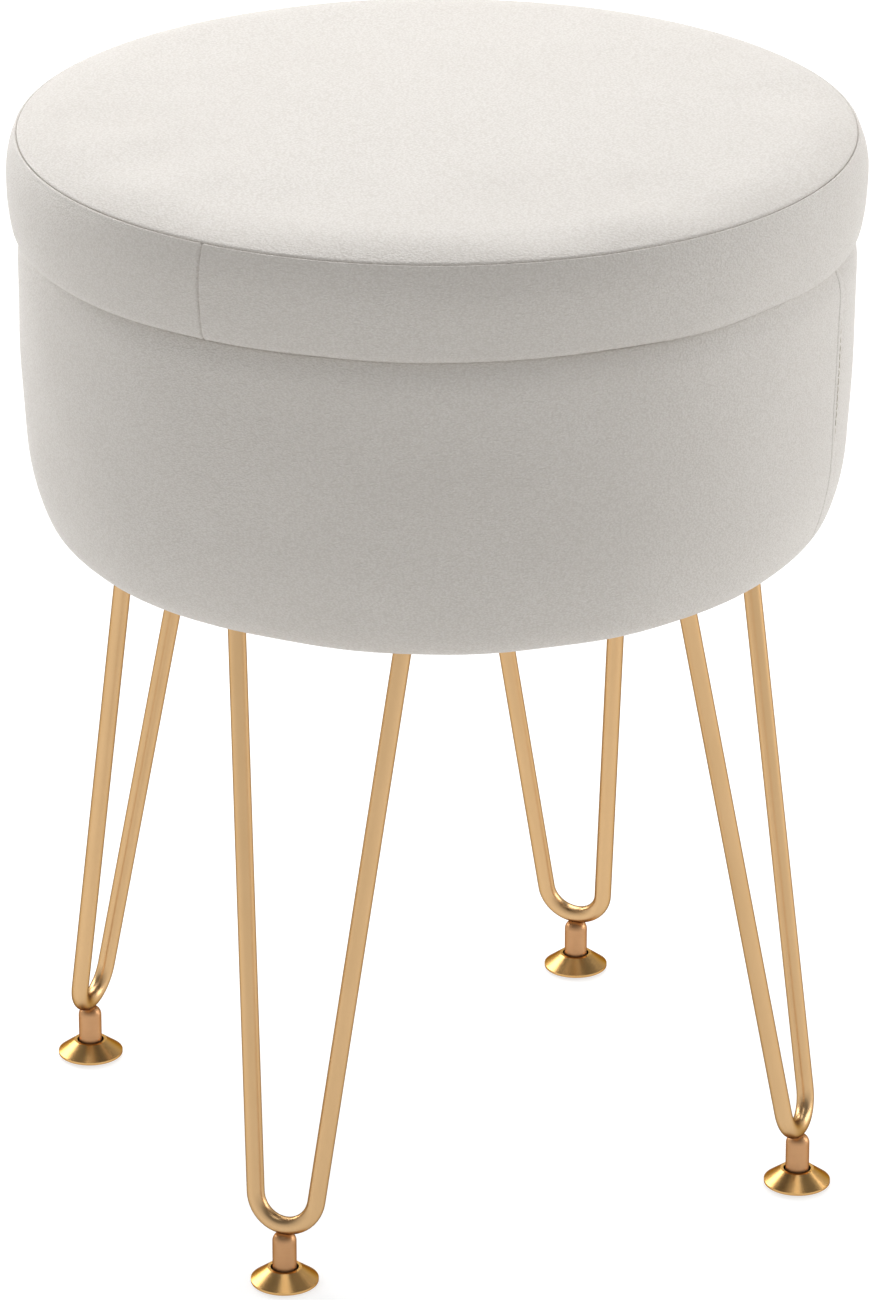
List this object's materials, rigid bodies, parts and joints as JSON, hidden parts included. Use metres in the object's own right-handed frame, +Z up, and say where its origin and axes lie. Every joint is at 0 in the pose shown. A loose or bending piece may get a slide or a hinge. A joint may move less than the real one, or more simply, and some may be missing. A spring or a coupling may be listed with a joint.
{
  "type": "storage ottoman",
  "caption": "Round upholstered storage ottoman with a padded lift-off lid, on splayed hairpin legs with screw-in levelling feet.",
  "frame": {"origin": "on the floor under the middle of the drum", "axes": "+Z up along the axis of the drum and lid; the four legs stand on +X, +Y, -X and -Y, and the picture looks from between -Y and +X"},
  "size_m": [0.3872, 0.3872, 0.4953],
  "materials": {
    "upholstery": "off-white, fine matt grain",
    "foam": "open-cell foam",
    "plywood": "bare bent plywood",
    "board": "bare fibreboard",
    "lining": "black non-woven lining",
    "gold_rod": "satin champagne gold",
    "gold_socket": "matt copper gold",
    "brass_cup": "polished",
    "zinc_steel": "bright zinc",
    "nylon": "moulded, black"
  },
  "bodies": {
    "drum": {"drum_cover": "upholstery", "drum_padding": "foam", "drum_wall": "plywood", "base_board": "board", "drum_lining": "lining", "floor_panel": "lining", "dust_cover": "lining", "leg_screws": "zinc_steel", "tee_nuts": "zinc_steel", "leg_plate_right": "gold_rod", "leg_plate_back": "gold_rod", "leg_plate_left": "gold_rod", "leg_plate_front": "gold_rod", "leg_hairpin_right": "gold_rod", "leg_hairpin_back": "gold_rod", "leg_hairpin_left": "gold_rod", "leg_hairpin_front": "gold_rod", "foot_socket_right": "gold_socket", "foot_socket_back": "gold_socket", "foot_socket_left": "gold_socket", "foot_socket_front": "gold_socket"},
    "lid": {"lid_top_panel": "upholstery", "lid_side_band": "upholstery", "lid_foam": "foam", "lid_board": "board", "lid_locating_disc": "board", "lid_lining": "lining", "lid_screws": "zinc_steel"},
    "glide_right": {"foot_glide_right": "nylon"},
    "foot_right": {"foot_cup_right": "brass_cup", "foot_stud_right": "zinc_steel"},
    "glide_back": {"foot_glide_back": "nylon"},
    "foot_back": {"foot_cup_back": "brass_cup", "foot_stud_back": "zinc_steel"},
    "glide_left": {"foot_glide_left": "nylon"},
    "foot_left": {"foot_cup_left": "brass_cup", "foot_stud_left": "zinc_steel"},
    "glide_front": {"foot_glide_front": "nylon"},
    "foot_front": {"foot_cup_front": "brass_cup", "foot_stud_front": "zinc_steel"}
  },
  "joints": [
    {"name": "lid_lift", "type": "slide", "parent": "drum", "child": "lid", "axis": [0, 0, 1], "range_m": [0, 0.25]},
    {"name": "foot_drop_right", "type": "slide", "parent": "drum", "child": "glide_right", "axis": [0, 0, -1], "range_m": [0, 0.006]},
    {"name": "foot_turn_right", "type": "hinge", "parent": "glide_right", "child": "foot_right", "pos_m": [0.17844, 0, 0], "axis": [0, 0, -1], "range_deg": [0, 2160]},
    {"name": "foot_drop_back", "type": "slide", "parent": "drum", "child": "glide_back", "axis": [0, 0, -1], "range_m": [0, 0.006]},
    {"name": "foot_turn_back", "type": "hinge", "parent": "glide_back", "child": "foot_back", "pos_m": [0, 0.17844, 0], "axis": [0, 0, -1], "range_deg": [0, 2160]},
    {"name": "foot_drop_left", "type": "slide", "parent": "drum", "child": "glide_left", "axis": [0, 0, -1], "range_m": [0, 0.006]},
    {"name": "foot_turn_left", "type": "hinge", "parent": "glide_left", "child": "foot_left", "pos_m": [-0.17844, 0, 0], "axis": [0, 0, -1], "range_deg": [0, 2160]},
    {"name": "foot_drop_front", "type": "slide", "parent": "drum", "child": "glide_front", "axis": [0, 0, -1], "range_m": [0, 0.006]},
    {"name": "foot_turn_front", "type": "hinge", "parent": "glide_front", "child": "foot_front", "pos_m": [0, -0.17844, 0], "axis": [0, 0, -1], "range_deg": [0, 2160]}
  ],
  "couplings": [
    {"joint": "foot_drop_right", "follows": "foot_turn_right", "m_per_rad": 0.00015915},
    {"joint": "foot_drop_back", "follows": "foot_turn_back", "m_per_rad": 0.00015915},
    {"joint": "foot_drop_left", "follows": "foot_turn_left", "m_per_rad": 0.00015915},
    {"joint": "foot_drop_front", "follows": "foot_turn_front", "m_per_rad": 0.00015915}
  ]
}
